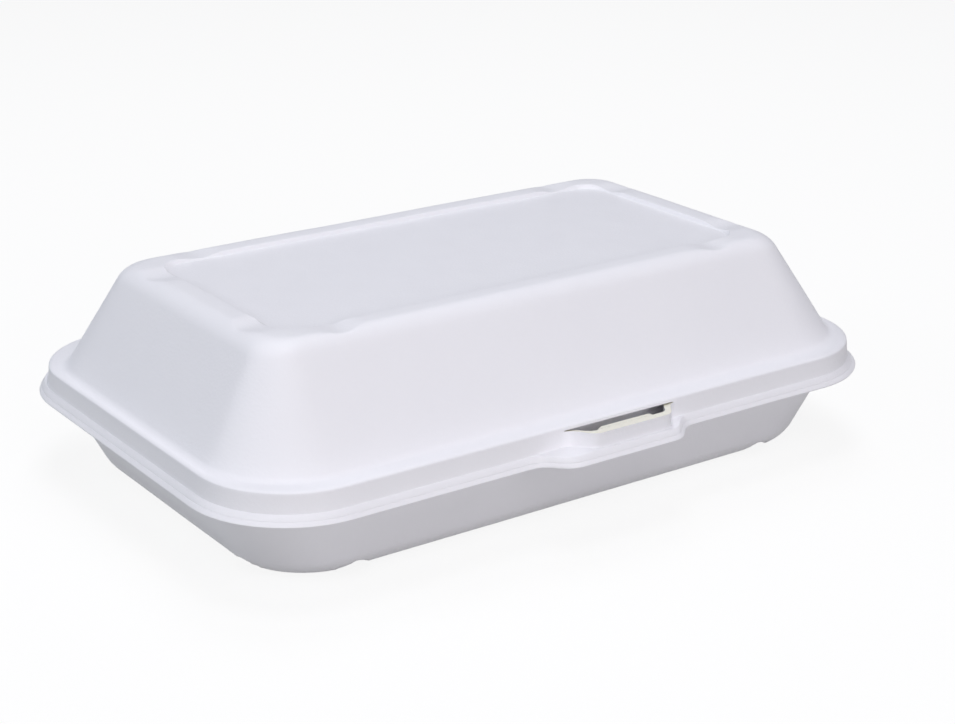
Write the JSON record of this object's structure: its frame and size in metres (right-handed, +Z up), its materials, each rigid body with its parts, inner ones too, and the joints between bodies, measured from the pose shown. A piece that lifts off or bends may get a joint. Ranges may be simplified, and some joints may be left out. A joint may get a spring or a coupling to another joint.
{
  "type": "hinged food container",
  "caption": "Rectangular foam clamshell food container with a deep domed lid, recessed top panel, rounded lip, front tab latch and a fold line at the back.",
  "frame": {"origin": "on the table plane, in the middle of the foot ring under the tray", "axes": "+X along the fold line, to the right as seen from the front; +Y from the front latch to the fold line at the back; +Z up"},
  "size_m": [0.24, 0.167, 0.067],
  "materials": {
    "foam": "white pressed polystyrene foam sheet, fine closed cells with a soft sheen"
  },
  "bodies": {
    "base": {"base": "foam"},
    "lid": {"lid": "foam"}
  },
  "joints": [
    {"name": "lid_hinge", "type": "hinge", "parent": "base", "child": "lid", "pos_m": [0, 0.08, 0.0267], "axis": [-1, 0, 0], "range_deg": [0, 161]}
  ]
}
